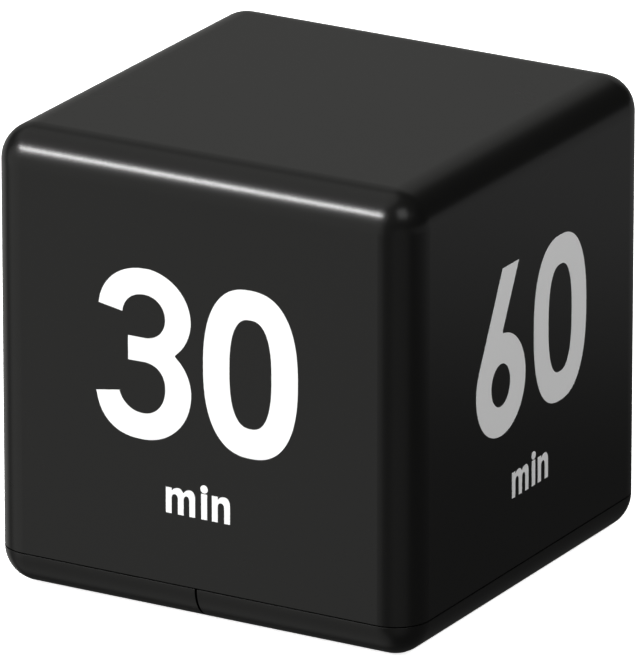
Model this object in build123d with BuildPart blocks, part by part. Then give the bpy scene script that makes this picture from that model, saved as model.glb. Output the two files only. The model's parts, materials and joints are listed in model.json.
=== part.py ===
from build123d import *
from math import pi
import os

# A cube timer: turn a numbered side face up and it counts down from that number.
# Millimetres. Origin at the middle of the underside, +Z up. The 30 minute face looks along -Y
# and the 60 minute face along +X. The underside is split at split_x: the battery door is the
# half towards +X, and the fixed base cover is the half towards -X.

os.makedirs("parts", exist_ok=True)

# ---------------------------------------------------------------- driving dimensions
# Case
cube = 64.0  # edge length over the flats
edge_r = 5.0  # rounding of every outer edge
wall = 2.0  # outer wall
seam_z = 5.0  # height of the joint line round the bottom
seam_gap = 0.15  # width of that joint line
split_x = -0.4  # joint line between base cover and battery door
split_gap = 0.35  # width of that joint line
seam_bevel = 0.05  # broken edge along the joint lines
root = 1.0  # how far ribs and arms are rooted in what they stand on, and cuts run past a face

# Fits
slide_gap = 0.3  # between pieces that slide past each other
seat_gap = 0.1  # between pieces put together face to face
pin_gap = 0.2  # round a pin, screw or lead in its hole

# Locating lip of the base cover, inside the housing wall
lip_h = 2.5
lip_t = 1.2

# Cells, size AAA
cell_d = 10.5
cell_l = 44.5  # over the nub
nub_d = 3.8
nub_h = 0.8
jacket_t = 0.2
jacket_short = 0.6  # bare can at each end
cell_gap = 0.4  # between cells, and from a cell to its bay

# Contacts
contact_t = 0.4
contact_w = 8.0
contact_h = 8.0
dimple_h = 0.6
dimple_d = 4.0
spring_l = 5.0  # length with the cells in
spring_base_d = 7.0
spring_tip_d = 4.4
spring_wire_d = 0.7
tab_w = 2.6  # solder tab of a contact
tab_rise = 2.4  # how far it stands above the battery bay

# Battery bay and deck of the base cover
bay_wall = 1.5
bay_side_gap = 0.8  # from the bay to the housing wall
deck_t = 1.5  # plate round the bay, above the door

# Battery door
door_rib_h = 1.25  # ribs and latch tongue above the door's floor
door_rib_t = 1.2
door_rib_y = 12.0
door_rim = 1.25  # the door's side walls are this much thicker than the wall
tongue_t = 1.0
tongue_w = 12.0
tongue_l = 4.0  # reach over the base cover's floor
tongue_root = 4.0
lap = 1.2  # the base cover's edge laps this far over the door's
ledge_lift = 0.5  # from the door's floor to the ledge it hangs on
hook_l = 5.0
hook_inset = 0.6  # from the ends of the ledge to the door's hooks
grip_w = 14.0
grip_groove = 0.7
grip_pitch = 1.8
grip_depth = 0.4
grip_count = 5
grip_x = 20.0  # middle of the grip grooves

# Catches that hold the base cover's battery side
catch_w = 6.0
catch_y = 11.0
catch_lift = 2.0  # from the top of the bay to the rib on the wall
catch_rib_h = 1.6
catch_reach = 1.0
catch_arm_t = 1.5
catch_head_h = 1.2

# Screws, self-tapping
screw_d = 2.0
screw_l = 8.0
screw_head_d = 4.0
screw_head_h = 1.5
screw_point = 1.2
cross_w = 0.5
cross_l = 2.4
cross_depth = 0.8
pilot_gap = 0.05  # on the radius
pilot_spare = 2.0  # hole past the tip
boss_d = 6.5
boss_inset = 5.5  # from the inner wall to the boss axis
gusset_t = 1.2
pad_h = 1.4  # screw pad above the base cover's floor
head_sink = 0.2  # screw head below the underside

# Circuit board
board_t = 1.6
post_h = 6.5  # board posts above the base cover's floor
post_d = 5.0
post_inset = 3.8  # from the base cover's edge to the posts beside it
side_post_y = -5.0  # the third post, by the side wall
board_margin = 1.0  # from the board to the housing wall
board_screw_l = 6.0

# Slide switches
can_x, can_y, can_z = 4.4, 8.8, 3.4
can_t = 0.3
lever_w = 1.6
lever_l = 1.4  # below the can
lever_foot_h = 1.8  # the lever's wide foot, inside the can
travel = 2.0
knob_x, knob_y = 3.2, 4.0
flange_x, flange_y, flange_t = 5.6, 8.6, 1.0
socket_x, socket_y = 3.2, 3.2  # block on the flange that takes the lever
knob_sink = 0.3  # knob below the underside
knob_groove = 0.4
dish_x, dish_y, dish_depth, dish_r = 8.0, 12.0, 0.8, 1.0
switch_y = -12.0
power_x = -20.5
volume_x = -9.5
switch_pin_pitch = 2.5
pin_w = 0.5
pin_rise = 0.8  # pins above the board

# Buzzer
piezo_x, piezo_y = -16.0, 9.5
piezo_d = 21.0
piezo_t = 0.2
ceramic_d = 15.0
ceramic_t = 0.2
ring_t = 1.0
ring_h = 3.0
gasket_h = 1.2  # air space under the disc
gasket_w = 2.0
sound_hole_d = 1.6
sound_circle_r = 4.0
sound_hole_count = 6

# Indicator light
led_x, led_y = -15.0, -22.5
led_d = 3.0
led_flange_d = 3.8
led_flange_t = 1.0
led_l = 5.3
led_sink = 0.4  # tip above the underside
led_pitch = 2.54

# Ball tilt switches, on the board
tilt_d = 5.0
tilt_l = 9.0
tilt_t = 0.4
tilt_header = 1.5
tilt_spots = {"a": (-19.5, 8.0, 45.0), "b": (-7.5, 8.0, -45.0)}
ball_d = 3.4
ball_gap = 0.1
tilt_lead_pitch = 2.4
tilt_lead_reach = 1.2
tilt_lead_bend = 0.75

# Small parts on the board
blob_d, blob_h = 9.0, 1.4
blob_x, blob_y = -15.0, -4.0
crystal_d, crystal_l, crystal_r = 2.0, 6.0, 0.33
crystal_x, crystal_y = -25.0, -14.0
cap_d, cap_h, cap_sleeve_t = 5.0, 7.0, 0.2
cap_x, cap_y = -3.0, -6.0
transistor_d, transistor_h = 4.4, 4.8
transistor_flat = 1.3  # from its axis to the flat side
transistor_x, transistor_y = -12.0, 20.0
resistor_x, resistor_y, resistor_z = 1.6, 0.8, 0.5
resistor_spots = [(-25.0, -1.0), (-25.0, 1.5), (-22.0, -4.0), (-5.0, -12.0), (-5.0, -15.0), (-18.0, 19.0)]

# Wires
wire_d = 1.1
wire_bend = 3.4
wire_pad_x = -1.0
positive_pad_y = -18.5
negative_pad_y = -15.0
wire_arch = 8.0  # above the solder tabs

# ---------------------------------------------------------------- places worked out from them
half = cube / 2
inner = half - wall
inner_r = edge_r - wall
base_edge_x = split_x - split_gap / 2
door_edge_x = split_x + split_gap / 2
housing_z = seam_z + seam_gap
deck_z = seam_z + slide_gap
deck_top = deck_z + deck_t
lip_top = seam_z + lip_h

rib_top = wall + door_rib_h
bay_foot = rib_top + slide_gap
cell_z = bay_foot + seat_gap + cell_d / 2
bay_roof = cell_z + cell_d / 2 + cell_gap
bay_top = bay_roof + bay_wall
bay_x1 = inner - bay_side_gap
cell_2_x = bay_x1 - bay_wall - cell_gap - cell_d / 2
cell_1_x = cell_2_x - cell_d - cell_gap
bay_x0 = cell_1_x - cell_d / 2 - cell_gap - bay_wall
bay_half = (cell_l + spring_l + dimple_h) / 2 + contact_t
bay_y = bay_half + bay_wall

lip_out = inner - slide_gap
lip_in = lip_out - lip_t
pocket_y = inner - door_rim
pocket_x = inner - seat_gap
ledge_y = pocket_y - slide_gap
ledge_z = wall + ledge_lift
lap_z = wall / 2
lap_y = tongue_w / 2 + slide_gap
hook_z = bay_foot + slide_gap
hook_y = bay_y + slide_gap
hook_x0 = max(bay_x0 + hook_inset, base_edge_x + lap + slide_gap)  # clear of the lap

catch_z = bay_top + catch_lift
catch_hook_z = catch_z + catch_rib_h + seat_gap
catch_arm_x = inner - catch_reach - slide_gap

boss_at = inner - boss_inset
boss_spots = [(-boss_at, boss_at), (-boss_at, -boss_at)]
pad_z = wall + pad_h
boss_z = pad_z + seat_gap
screw_seat_z = head_sink + screw_head_h

board_z = wall + post_h
board_top = board_z + board_t
board_edge = inner - board_margin
board_x1 = bay_x0 - slide_gap
board_notch = boss_at - boss_d / 2 - slide_gap
post_spots = [
    (base_edge_x - post_inset, boss_at),
    (base_edge_x - post_inset, -boss_at),
    (-(board_edge - post_d / 2), side_post_y),
]
pin_top = board_top + pin_rise
switches = {"power": power_x, "volume": volume_x}
can_bottom = board_z - can_z
flange_z = wall + seat_gap
contact_y = bay_half - contact_t
gasket_top = wall + gasket_h
tab_top = bay_top + tab_rise

MIN_Z = (Align.CENTER, Align.CENTER, Align.MIN)


def save(piece, name):
    """Labels a finished piece and writes it as its own STEP file."""
    piece.part.label = name
    export_step(piece.part, f"parts/{name}.step")


def slab(x0, x1, y0, y1, z0, z1, mode=Mode.ADD):
    """A block between two corners, in the part that is being built."""
    with Locations(((x0 + x1) / 2, (y0 + y1) / 2, (z0 + z1) / 2)):
        Box(x1 - x0, y1 - y0, z1 - z0, mode=mode)


def peg(x, y, d, z0, z1, mode=Mode.ADD):
    """An upright cylinder between two heights, in the part that is being built."""
    with Locations((x, y, z0)):
        Cylinder(d / 2, z1 - z0, align=MIN_Z, mode=mode)


# ---------------------------------------------------------------- case shells
with BuildPart() as housing:
    Box(cube, cube, cube, align=MIN_Z)
    fillet(housing.edges(), edge_r)
    split(bisect_by=Plane.XY.offset(housing_z), keep=Keep.TOP)
    chamfer(housing.faces().sort_by(Axis.Z)[0].edges(), seam_bevel)
    with BuildSketch(Plane.XY.offset(housing_z)):
        RectangleRounded(2 * inner, 2 * inner, inner_r)
    extrude(amount=cube - wall - housing_z, mode=Mode.SUBTRACT)
    for x, y in boss_spots:
        side = 1 if y > 0 else -1
        peg(x, y, boss_d, boss_z, cube - wall / 2)
        y0, y1 = sorted((y, side * (inner + wall / 2)))
        slab(x - gusset_t / 2, x + gusset_t / 2, y0, y1, lip_top + slide_gap, cube - edge_r)
        slab(-inner - wall / 2, x, y - gusset_t / 2, y + gusset_t / 2, lip_top + slide_gap, cube - edge_r)
        peg(x, y, screw_d + 2 * pilot_gap, boss_z, screw_seat_z + screw_l + pilot_spare, Mode.SUBTRACT)
    for y in (-catch_y, catch_y):
        slab(inner - catch_reach, inner + wall / 2, y - catch_w / 2, y + catch_w / 2,
             catch_z, catch_z + catch_rib_h)
save(housing, "housing")

with BuildPart() as base_cover:
    Box(cube, cube, cube, align=MIN_Z)
    fillet(base_cover.edges(), edge_r)
    split(bisect_by=Plane.XY.offset(seam_z), keep=Keep.BOTTOM)
    split(bisect_by=Plane.YZ.offset(base_edge_x), keep=Keep.BOTTOM)
    chamfer(base_cover.faces().sort_by(Axis.Z)[-1].edges().sort_by(Axis.X)[:-1], seam_bevel)
    # tray with its locating lip
    with BuildSketch(Plane.XY.offset(wall)):
        RectangleRounded(2 * lip_in, 2 * lip_in, inner_r - slide_gap - lip_t)
    extrude(amount=seam_z - wall, mode=Mode.SUBTRACT)
    with BuildSketch(Plane.XY.offset(wall)):
        RectangleRounded(2 * lip_out, 2 * lip_out, inner_r - slide_gap)
        RectangleRounded(2 * lip_in, 2 * lip_in, inner_r - slide_gap - lip_t, mode=Mode.SUBTRACT)
        with Locations((base_edge_x + half, 0)):
            Rectangle(cube, cube, mode=Mode.SUBTRACT)
    extrude(amount=lip_top - wall)
    # step up to the deck, and the deck round the battery bay
    slab(base_edge_x - bay_wall, base_edge_x, -lip_in, lip_in, wall / 2, deck_top)
    with BuildSketch(Plane.XY.offset(deck_z)):
        RectangleRounded(2 * lip_out, 2 * lip_out, inner_r - slide_gap)
        with Locations((base_edge_x - bay_wall / 2 - half, 0)):
            Rectangle(cube, cube, mode=Mode.SUBTRACT)
    extrude(amount=deck_t)
    # battery bay, open downwards, with the ledges that carry the door
    slab(bay_x0, bay_x1, -bay_y, bay_y, bay_foot, bay_top)
    for y0, y1 in ((-ledge_y, -bay_half), (bay_half, ledge_y)):
        slab(bay_x0, bay_x1, y0, y1, ledge_z, bay_foot)
        slab(bay_x0, bay_x1, max(y0, -bay_y), min(y1, bay_y), ledge_z, deck_top)
    slab(bay_x0 + bay_wall, bay_x1 - bay_wall, -bay_half, bay_half, wall, bay_roof, Mode.SUBTRACT)
    for x in (cell_1_x, cell_2_x):
        slab(x - tab_w / 2 - pin_gap, x + tab_w / 2 + pin_gap, -bay_half - pin_gap,
             -contact_y + pin_gap, bay_roof - root, bay_top + root, Mode.SUBTRACT)
    # catches over the ribs of the housing
    for y in (-catch_y, catch_y):
        y0, y1 = y - catch_w / 2, y + catch_w / 2
        slab(catch_arm_x - catch_arm_t, catch_arm_x, y0, y1, bay_top - root, catch_hook_z + catch_head_h)
        slab(catch_arm_x - catch_arm_t, lip_out, y0, y1, catch_hook_z, catch_hook_z + catch_head_h)
    # slot for the door's tongue
    slab(base_edge_x - 2 * bay_wall, base_edge_x + root, -tongue_w / 2 - slide_gap, tongue_w / 2 + slide_gap,
         wall, rib_top + slide_gap, Mode.SUBTRACT)
    # lap over the door's edge, and up the inside of its end walls
    for side in (-1, 1):
        y0, y1 = sorted((side * lap_y, side * ledge_y))
        slab(base_edge_x - bay_wall, base_edge_x + lap, y0, y1, lap_z + seat_gap, wall)
        y0, y1 = sorted((side * (ledge_y - bay_wall), side * ledge_y))
        slab(base_edge_x - bay_wall, base_edge_x + lap, y0, y1, lap_z + seat_gap, seam_z)
    # screw pads and board posts
    for x, y in boss_spots:
        peg(x, y, boss_d, wall / 2, pad_z)
        peg(x, y, screw_d + 2 * pin_gap, 0, pad_z, Mode.SUBTRACT)
        peg(x, y, screw_head_d + 2 * pin_gap, 0, screw_seat_z, Mode.SUBTRACT)
    for x, y in post_spots:
        peg(x, y, post_d, wall / 2, board_z)
        pilot_foot = board_top - board_screw_l - pilot_spare / 2
        peg(x, y, screw_d + 2 * pilot_gap, pilot_foot, board_z, Mode.SUBTRACT)
    # buzzer ring and its sound holes
    peg(piezo_x, piezo_y, piezo_d + 2 * seat_gap + 2 * ring_t, wall / 2, wall + ring_h)
    peg(piezo_x, piezo_y, piezo_d + 2 * seat_gap, wall, wall + ring_h, Mode.SUBTRACT)
    with Locations((piezo_x, piezo_y, 0)):
        with PolarLocations(sound_circle_r, sound_hole_count):
            Cylinder(sound_hole_d / 2, 2 * wall, mode=Mode.SUBTRACT)
        Cylinder(sound_hole_d / 2, 2 * wall, mode=Mode.SUBTRACT)
    # windows for the light and the switch knobs
    peg(led_x, led_y, led_d + 2 * pin_gap, 0, wall, Mode.SUBTRACT)
    for x in switches.values():
        with BuildSketch(Plane.XY):
            with Locations((x, switch_y)):
                RectangleRounded(dish_x, dish_y, dish_r)
        extrude(amount=dish_depth, mode=Mode.SUBTRACT)
        slab(x - knob_x / 2 - slide_gap, x + knob_x / 2 + slide_gap,
             switch_y - (knob_y + travel) / 2 - slide_gap, switch_y + (knob_y + travel) / 2 + slide_gap,
             0, wall, Mode.SUBTRACT)
save(base_cover, "base_cover")

with BuildPart() as battery_door:
    Box(cube, cube, cube, align=MIN_Z)
    fillet(battery_door.edges(), edge_r)
    split(bisect_by=Plane.XY.offset(seam_z), keep=Keep.BOTTOM)
    split(bisect_by=Plane.YZ.offset(door_edge_x), keep=Keep.TOP)
    chamfer(battery_door.faces().sort_by(Axis.Z)[-1].edges().sort_by(Axis.X)[1:], seam_bevel)
    with BuildSketch(Plane.XY.offset(wall)):
        RectangleRounded(2 * pocket_x, 2 * pocket_y, inner_r / 2)
    extrude(amount=seam_z - wall, mode=Mode.SUBTRACT)
    for side in (-1, 1):
        y0, y1 = sorted((side * lap_y, side * pocket_y))
        slab(door_edge_x, base_edge_x + lap + slide_gap, y0, y1, lap_z, wall, Mode.SUBTRACT)
    # hooks that ride on the ledges, two to a side
    for x in (hook_x0, bay_x1 - hook_inset - hook_l):
        slab(x, x + hook_l, hook_y, pocket_y + wall / 2, hook_z, seam_z)
        slab(x, x + hook_l, -pocket_y - wall / 2, -hook_y, hook_z, seam_z)
    # ribs under the cells, and the tongue that reaches over the base cover's floor
    for y in (-door_rib_y, door_rib_y):
        slab(door_edge_x + root, pocket_x, y - door_rib_t / 2, y + door_rib_t / 2, wall / 2, rib_top)
    slab(door_edge_x, door_edge_x + tongue_root, -tongue_w / 2, tongue_w / 2, wall / 2, rib_top)
    slab(door_edge_x - tongue_l, door_edge_x, -tongue_w / 2, tongue_w / 2, rib_top - tongue_t, rib_top)
    # finger grip
    with Locations((grip_x, 0, 0)):
        with GridLocations(grip_pitch, 0, grip_count, 1):
            Box(grip_groove, grip_w, 2 * grip_depth, mode=Mode.SUBTRACT)
save(battery_door, "battery_door")


# ---------------------------------------------------------------- screws
def screw(x, y, z, length, up):
    """A pan-head screw with a cross recess; z is where the head seats, and up is the shank's way."""
    away = Plane(origin=(x, y, z), z_dir=(0, 0, 1 if up else -1))
    with Locations(away):
        with Locations((0, 0, -screw_head_h)):
            Cylinder(screw_head_d / 2, screw_head_h, align=MIN_Z)
            Box(cross_l, cross_w, 2 * cross_depth, mode=Mode.SUBTRACT)
            Box(cross_w, cross_l, 2 * cross_depth, mode=Mode.SUBTRACT)
        Cylinder(screw_d / 2, length - screw_point, align=MIN_Z)
        with Locations((0, 0, length - screw_point)):
            Cone(screw_d / 2, screw_d / 8, screw_point, align=MIN_Z)


with BuildPart() as base_screws:
    for x, y in boss_spots:
        screw(x, y, screw_seat_z, screw_l, True)
save(base_screws, "base_screws")

with BuildPart() as board_screws:
    for x, y in post_spots:
        screw(x, y, board_top, board_screw_l, False)
save(board_screws, "board_screws")


# ---------------------------------------------------------------- circuit board
def turned(x, y, angle, along, across=0.0):
    """A point at a distance along and across a direction that is turned in plan."""
    shift = Vector(along, across, 0).rotate(Axis.Z, angle)
    return (x + shift.X, y + shift.Y)


switch_pins = [
    (x, switch_y + step * switch_pin_pitch) for x in switches.values() for step in (-1, 0, 1)
]
led_pins = [(led_x - led_pitch / 2, led_y), (led_x + led_pitch / 2, led_y)]
tilt_reach = tilt_l / 2 + tilt_lead_reach
tilt_pins = [
    turned(x, y, angle, -tilt_reach, side * tilt_lead_pitch / 2)
    for x, y, angle in tilt_spots.values() for side in (-1, 1)
]
wire_pads = [(wire_pad_x, positive_pad_y), (wire_pad_x, negative_pad_y)]

with BuildPart() as circuit_board:
    with BuildSketch(Plane.XY.offset(board_z)):
        with Locations(((board_x1 - board_edge) / 2, 0)):
            Rectangle(board_x1 + board_edge, 2 * board_edge)
        for side in (-1, 1):
            with Locations((-half, side * half)):
                Rectangle(2 * (half - board_notch), 2 * (half - board_notch), mode=Mode.SUBTRACT)
        with Locations(*post_spots):
            Circle(screw_d / 2 + pin_gap, mode=Mode.SUBTRACT)
        with Locations(*switch_pins, *led_pins, *tilt_pins, *wire_pads):
            Circle(pin_w / 2 + pin_gap, mode=Mode.SUBTRACT)
    extrude(amount=board_t)
save(circuit_board, "circuit_board")

with BuildPart() as chip_blob:
    blob_side = Plane(origin=(blob_x, blob_y, board_top), x_dir=(1, 0, 0), z_dir=(0, -1, 0))
    with BuildSketch(blob_side):
        with BuildLine():
            dome = TangentArc((0, blob_h), (blob_d / 2, 0), tangent=(1, 0))
            Polyline(dome @ 1, (0, 0), dome @ 0)
        make_face()
    revolve(axis=Axis((blob_x, blob_y, board_top), (0, 0, 1)))
save(chip_blob, "chip_blob")

with BuildPart() as crystal:
    with Locations(Location((crystal_x, crystal_y, board_top + crystal_d / 2), (90, 0, 0))):
        Cylinder(crystal_d / 2, crystal_l)
    fillet(crystal.edges(), crystal_r)
save(crystal, "crystal")

with BuildPart() as capacitor_can:
    peg(cap_x, cap_y, cap_d - 2 * cap_sleeve_t, board_top, board_top + cap_h)
    fillet(capacitor_can.edges(), cap_sleeve_t)
save(capacitor_can, "capacitor_can")

with BuildPart() as capacitor_sleeve:
    peg(cap_x, cap_y, cap_d, board_top, board_top + cap_h - 2 * cap_sleeve_t)
    peg(cap_x, cap_y, cap_d - 2 * cap_sleeve_t, board_top, board_top + cap_h, Mode.SUBTRACT)
save(capacitor_sleeve, "capacitor_sleeve")

with BuildPart() as driver_transistor:
    with BuildSketch(Plane.XY.offset(board_top)):
        with Locations((transistor_x, transistor_y)):
            Circle(transistor_d / 2)
            with Locations((0, -transistor_flat - transistor_d / 2)):
                Rectangle(transistor_d, transistor_d, mode=Mode.SUBTRACT)
    extrude(amount=transistor_h)
save(driver_transistor, "driver_transistor")

with BuildPart() as chip_resistors:
    for x, y in resistor_spots:
        slab(x - resistor_x / 2, x + resistor_x / 2, y - resistor_y / 2, y + resistor_y / 2,
             board_top, board_top + resistor_z)
save(chip_resistors, "chip_resistors")

# ---------------------------------------------------------------- slide switches and knobs
for name, x in switches.items():
    y0, y1 = switch_y - can_y / 2, switch_y + can_y / 2
    rest_y = switch_y - travel / 2
    foot_z = can_bottom + can_t + slide_gap / 2

    with BuildPart() as switch_can:
        slab(x - can_x / 2, x + can_x / 2, y0, y1, can_bottom, board_z - can_t)
        slab(x - can_x / 2 + can_t, x + can_x / 2 - can_t, y0 + can_t, y1 - can_t,
             can_bottom + can_t, board_z, Mode.SUBTRACT)
        slab(x - lever_w / 2 - slide_gap, x + lever_w / 2 + slide_gap,
             switch_y - (lever_w + travel) / 2 - slide_gap, switch_y + (lever_w + travel) / 2 + slide_gap,
             can_bottom, board_z, Mode.SUBTRACT)
    save(switch_can, f"{name}_switch_can")

    with BuildPart() as switch_base:
        slab(x - can_x / 2, x + can_x / 2, y0, y1, board_z - can_t, board_z)
        slab(x - can_x / 2 + can_t, x + can_x / 2 - can_t, y0 + can_t, y1 - can_t,
             board_z - 2 * can_t, board_z)
        for step in (-1, 0, 1):
            peg(x, switch_y + step * switch_pin_pitch, pin_w, board_z - can_t, board_z, Mode.SUBTRACT)
    save(switch_base, f"{name}_switch_base")

    with BuildPart() as pins:
        for step in (-1, 0, 1):
            peg(x, switch_y + step * switch_pin_pitch, pin_w, board_z - can_t, pin_top)
    save(pins, f"{name}_switch_pins")

    with BuildPart() as lever:
        slab(x - lever_w / 2, x + lever_w / 2, rest_y - lever_w / 2, rest_y + lever_w / 2,
             can_bottom - lever_l, can_bottom + can_t + slide_gap)
        slab(x - can_x / 2 + can_t + slide_gap, x + can_x / 2 - can_t - slide_gap,
             rest_y - lever_w, rest_y + lever_w, foot_z, foot_z + lever_foot_h)
    save(lever, f"{name}_switch_lever")

    with BuildPart() as knob:
        slab(x - knob_x / 2, x + knob_x / 2, rest_y - knob_y / 2, rest_y + knob_y / 2, knob_sink, flange_z)
        slab(x - flange_x / 2, x + flange_x / 2, rest_y - flange_y / 2, rest_y + flange_y / 2,
             flange_z, flange_z + flange_t)
        slab(x - socket_x / 2, x + socket_x / 2, rest_y - socket_y / 2, rest_y + socket_y / 2,
             flange_z + flange_t, can_bottom - slide_gap)
        slab(x - lever_w / 2, x + lever_w / 2, rest_y - lever_w / 2, rest_y + lever_w / 2,
             can_bottom - lever_l, can_bottom, Mode.SUBTRACT)
        with Locations((x, rest_y, knob_sink)):
            with GridLocations(0, knob_y / 3, 1, 3):
                Box(knob_x, knob_groove, 2 * knob_groove, mode=Mode.SUBTRACT)
    save(knob, f"{name}_knob")

# ---------------------------------------------------------------- indicator light
led_top = led_sink + led_l
with BuildPart() as led_bulb:
    peg(led_x, led_y, led_d, led_sink + led_d / 2, led_top)
    with Locations((led_x, led_y, led_sink + led_d / 2)):
        Sphere(led_d / 2)
    peg(led_x, led_y, led_flange_d, led_top - led_flange_t, led_top)
    for x, y in led_pins:
        peg(x, y, pin_w, led_top - led_flange_t, led_top, Mode.SUBTRACT)
save(led_bulb, "led_bulb")

with BuildPart() as led_legs:
    for x, y in led_pins:
        peg(x, y, pin_w, led_top - led_flange_t, pin_top)
save(led_legs, "led_legs")

# ---------------------------------------------------------------- buzzer
with BuildPart() as piezo_gasket:
    peg(piezo_x, piezo_y, piezo_d, wall, gasket_top)
    peg(piezo_x, piezo_y, piezo_d - 2 * gasket_w, wall, gasket_top, Mode.SUBTRACT)
save(piezo_gasket, "piezo_gasket")

with BuildPart() as piezo_plate:
    peg(piezo_x, piezo_y, piezo_d, gasket_top, gasket_top + piezo_t)
save(piezo_plate, "piezo_plate")

with BuildPart() as piezo_ceramic:
    peg(piezo_x, piezo_y, ceramic_d, gasket_top + piezo_t, gasket_top + piezo_t + ceramic_t)
save(piezo_ceramic, "piezo_ceramic")

# ---------------------------------------------------------------- ball tilt switches
tilt_z = board_top + tilt_d / 2
ball_drop = (tilt_d - ball_d) / 2 - tilt_t - ball_gap
ball_rest = -tilt_l / 2 + tilt_header + ball_gap + ball_d / 2  # from the middle of the can, along it

for name, (x, y, angle) in tilt_spots.items():
    lying = Plane(origin=(x, y, tilt_z), x_dir=Vector(0, 0, 1), z_dir=Vector(1, 0, 0).rotate(Axis.Z, angle))

    with BuildPart() as can:
        with BuildSketch(lying.offset(-tilt_l / 2)):
            Circle(tilt_d / 2)
        extrude(amount=tilt_l)
        with BuildSketch(lying.offset(-tilt_l / 2)):
            Circle(tilt_d / 2 - tilt_t)
        extrude(amount=tilt_l - tilt_t, mode=Mode.SUBTRACT)
    save(can, f"tilt_can_{name}")

    with BuildPart() as header:
        with BuildSketch(lying.offset(-tilt_l / 2)):
            Circle(tilt_d / 2 - tilt_t)
            with Locations((0, tilt_lead_pitch / 2), (0, -tilt_lead_pitch / 2)):
                Circle(pin_w / 2, mode=Mode.SUBTRACT)
        extrude(amount=tilt_header)
    save(header, f"tilt_header_{name}")

    with BuildPart() as ball:
        with Locations((*turned(x, y, angle, ball_rest), tilt_z - ball_drop)):
            Sphere(ball_d / 2)
    save(ball, f"tilt_ball_{name}")

with BuildPart() as tilt_leads:
    for x, y, angle in tilt_spots.values():
        for side in (-1, 1):
            across = side * tilt_lead_pitch / 2
            start = (*turned(x, y, angle, -tilt_l / 2 + tilt_header, across), tilt_z)
            bend = (*turned(x, y, angle, -tilt_reach, across), tilt_z)
            end = (bend[0], bend[1], board_z - pin_rise)
            with BuildLine():
                route = FilletPolyline(start, bend, end, radius=tilt_lead_bend)
            with BuildSketch(Plane(origin=start, z_dir=route % 0)):
                Circle(pin_w / 2)
            sweep(path=route)
save(tilt_leads, "tilt_leads")


# ---------------------------------------------------------------- cells
def cell(x, up):
    """A AAA cell lying along Y, with its nub towards +Y if up is 1, or -Y if up is -1."""
    nub_tip = up * (contact_y - dimple_h)
    shoulder = nub_tip - up * nub_h
    foot = nub_tip - up * cell_l
    steel_r = cell_d / 2 - jacket_t

    def bar(y0, y1, radius, mode=Mode.ADD):
        with Locations(Plane(origin=(x, (y0 + y1) / 2, cell_z), z_dir=(0, 1, 0))):
            Cylinder(radius, abs(y1 - y0), mode=mode)

    with BuildPart() as steel:
        bar(foot, shoulder, steel_r)
        fillet(steel.edges(), jacket_short / 2)
        bar(shoulder, nub_tip, nub_d / 2)
    with BuildPart() as jacket:
        bar(foot + up * jacket_short, shoulder - up * jacket_short, cell_d / 2)
        bar(foot, shoulder, steel_r, Mode.SUBTRACT)
    return steel, jacket


for name, x, up in (("cell_1", cell_1_x, -1), ("cell_2", cell_2_x, 1)):
    steel, jacket = cell(x, up)
    save(steel, name)
    save(jacket, f"{name}_jacket")


# ---------------------------------------------------------------- battery contacts
def plate(x0, x1, side):
    """A contact plate on the bay's end wall, at -Y if side is -1, or +Y if side is 1."""
    y0, y1 = sorted((side * contact_y, side * bay_half))
    slab(x0, x1, y0, y1, cell_z - contact_h / 2, cell_z + contact_h / 2)


def dimple(x, side):
    """The pressed dimple that meets a cell's nub."""
    with Locations(Plane(origin=(x, side * contact_y, cell_z), z_dir=(0, -side, 0))):
        Cone(dimple_d / 2, dimple_d / 4, dimple_h, align=MIN_Z)


def tab(x):
    """The solder tab through the roof of the bay."""
    slab(x - tab_w / 2, x + tab_w / 2, -bay_half, -contact_y, cell_z, tab_top)


def spring(x, side):
    """The conical contact spring as a plain hollow cone, from a plate to a cell's foot."""
    axis_line = Plane(origin=(x, side * contact_y, cell_z), z_dir=(0, -side, 0))
    wire = spring_wire_d
    with BuildPart() as coil:
        with Locations(axis_line):
            Cone(spring_base_d / 2, spring_tip_d / 2, spring_l, align=MIN_Z)
            Cone(spring_base_d / 2 - wire, spring_tip_d / 2 - wire, spring_l, align=MIN_Z, mode=Mode.SUBTRACT)
    return coil


with BuildPart() as positive_contact:
    plate(cell_1_x - contact_w / 2, cell_1_x + contact_w / 2, -1)
    dimple(cell_1_x, -1)
    tab(cell_1_x)
save(positive_contact, "positive_contact")

with BuildPart() as negative_contact:
    plate(cell_2_x - contact_w / 2, cell_2_x + contact_w / 2, -1)
    tab(cell_2_x)
save(negative_contact, "negative_contact")

with BuildPart() as bridge_contact:
    plate(cell_1_x - contact_w / 2, cell_2_x + contact_w / 2, 1)
    dimple(cell_2_x, 1)
save(bridge_contact, "bridge_contact")

save(spring(cell_2_x, -1), "negative_spring")
save(spring(cell_1_x, 1), "bridge_spring")


# ---------------------------------------------------------------- wires
def wire(points, name):
    """An insulated wire along straight runs joined by arcs; prints its length two ways."""
    with BuildPart() as piece:
        with BuildLine():
            route = FilletPolyline(*points, radius=wire_bend)
        with BuildSketch(Plane(origin=route @ 0, z_dir=route % 0)):
            Circle(wire_d / 2)
        sweep(path=route)
    length = piece.part.volume / (pi * wire_d ** 2 / 4)
    print(name, "length", round(length, 1), "path", round(route.length, 1))
    save(piece, name)


wire_y = -contact_y + contact_t + wire_d / 2  # beside the solder tabs
for name, x, pad_y in (
    ("positive_wire", cell_1_x, positive_pad_y),
    ("negative_wire", cell_2_x, negative_pad_y),
):
    solder = (x, wire_y, bay_top + wire_d)
    arch = tab_top + wire_arch
    wire([solder, (x, wire_y, arch), (wire_pad_x, pad_y, arch), (wire_pad_x, pad_y, board_top)], name)


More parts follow.
